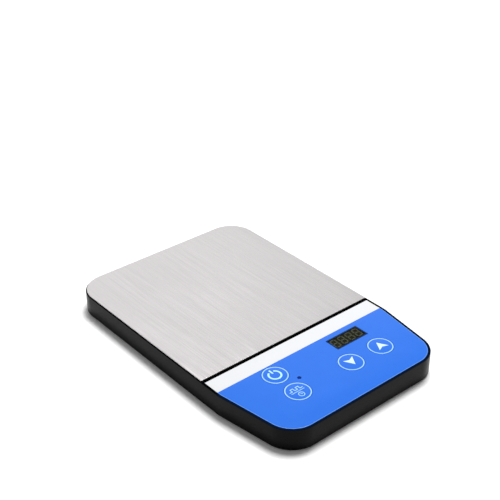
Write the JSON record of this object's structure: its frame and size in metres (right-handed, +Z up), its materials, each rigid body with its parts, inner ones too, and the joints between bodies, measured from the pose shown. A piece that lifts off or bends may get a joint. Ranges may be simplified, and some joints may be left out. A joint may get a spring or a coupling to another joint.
{
  "type": "magnetic stirrer",
  "caption": "Flat laboratory magnetic stirrer: black tapered casing, brushed steel top plate, printed control panel with round press keys and a digit display.",
  "frame": {"origin": "centre of the footprint, on the surface that the feet stand on", "axes": "+Z up; the control panel faces -Y, +X is to the right of someone who faces the panel"},
  "size_m": [0.1204, 0.1802, 0.0136],
  "materials": {
    "casing_plastic": "satin moulded black plastic",
    "plate_steel": "brushed stainless, grain along Y",
    "bonding_foam": "matt black foam",
    "printed_film": "semi-gloss printed film, blue with a white rear strip",
    "smoked_window": "smoked clear film",
    "foot_rubber": "matt",
    "screw_steel": "zinc plated",
    "board_green": "green solder mask",
    "chip_black": "moulded epoxy",
    "switch_grey": "moulded",
    "nylon": "natural nylon",
    "soft_iron": "soft iron",
    "enamelled_copper": "enamelled copper wire",
    "contact_brass": "plated contact",
    "led_lens": "dark lens, unlit",
    "lead_sheath": "PVC sheath",
    "capacitor_can": "bare can"
  },
  "bodies": {
    "housing": {"casing": "casing_plastic", "base_plate": "casing_plastic", "plate_gasket": "bonding_foam", "top_plate": "plate_steel", "panel_overlay": "printed_film", "display_window": "smoked_window", "power_connector": "nylon", "coil_connector": "nylon", "coil_bobbin_1": "nylon", "coil_bobbin_2": "nylon", "coil_bobbin_3": "nylon", "coil_bobbin_4": "nylon", "power_switch": "switch_grey", "pulse_switch": "switch_grey", "down_switch": "switch_grey", "up_switch": "switch_grey", "foot_1": "foot_rubber", "foot_2": "foot_rubber", "foot_3": "foot_rubber", "foot_4": "foot_rubber", "base_screw_1": "screw_steel", "base_screw_2": "screw_steel", "base_screw_3": "screw_steel", "base_screw_4": "screw_steel", "board_screw_1": "screw_steel", "board_screw_2": "screw_steel", "board_screw_3": "screw_steel", "board_screw_4": "screw_steel", "control_board": "board_green", "coil_terminal_board": "board_green", "display_module": "chip_black", "microcontroller": "chip_black", "power_inductor": "chip_black", "driver_chip_1": "chip_black", "driver_chip_2": "chip_black", "inlet_body": "chip_black", "status_led": "led_lens", "smoothing_capacitor": "capacitor_can", "yoke_plate": "soft_iron", "coil_core_1": "soft_iron", "coil_core_2": "soft_iron", "coil_core_3": "soft_iron", "coil_core_4": "soft_iron", "coil_winding_1": "enamelled_copper", "coil_winding_2": "enamelled_copper", "coil_winding_3": "enamelled_copper", "coil_winding_4": "enamelled_copper", "inlet_pin": "contact_brass", "power_lead": "lead_sheath", "coil_cable": "lead_sheath"},
    "power_key_body": {"power_key": "printed_film", "power_plunger": "nylon"},
    "pulse_key_body": {"pulse_key": "printed_film", "pulse_plunger": "nylon"},
    "down_key_body": {"down_key": "printed_film", "down_plunger": "nylon"},
    "up_key_body": {"up_key": "printed_film", "up_plunger": "nylon"}
  },
  "joints": [
    {"name": "power_key_press", "type": "slide", "parent": "housing", "child": "power_key_body", "axis": [0, 0, -1], "range_m": [0, 0.0003], "stiffness_N_per_m": 2000, "springref_m": -0.0003},
    {"name": "pulse_key_press", "type": "slide", "parent": "housing", "child": "pulse_key_body", "axis": [0, 0, -1], "range_m": [0, 0.0003], "stiffness_N_per_m": 2000, "springref_m": -0.0003},
    {"name": "down_key_press", "type": "slide", "parent": "housing", "child": "down_key_body", "axis": [0, 0, -1], "range_m": [0, 0.0003], "stiffness_N_per_m": 2000, "springref_m": -0.0003},
    {"name": "up_key_press", "type": "slide", "parent": "housing", "child": "up_key_body", "axis": [0, 0, -1], "range_m": [0, 0.0003], "stiffness_N_per_m": 2000, "springref_m": -0.0003}
  ]
}
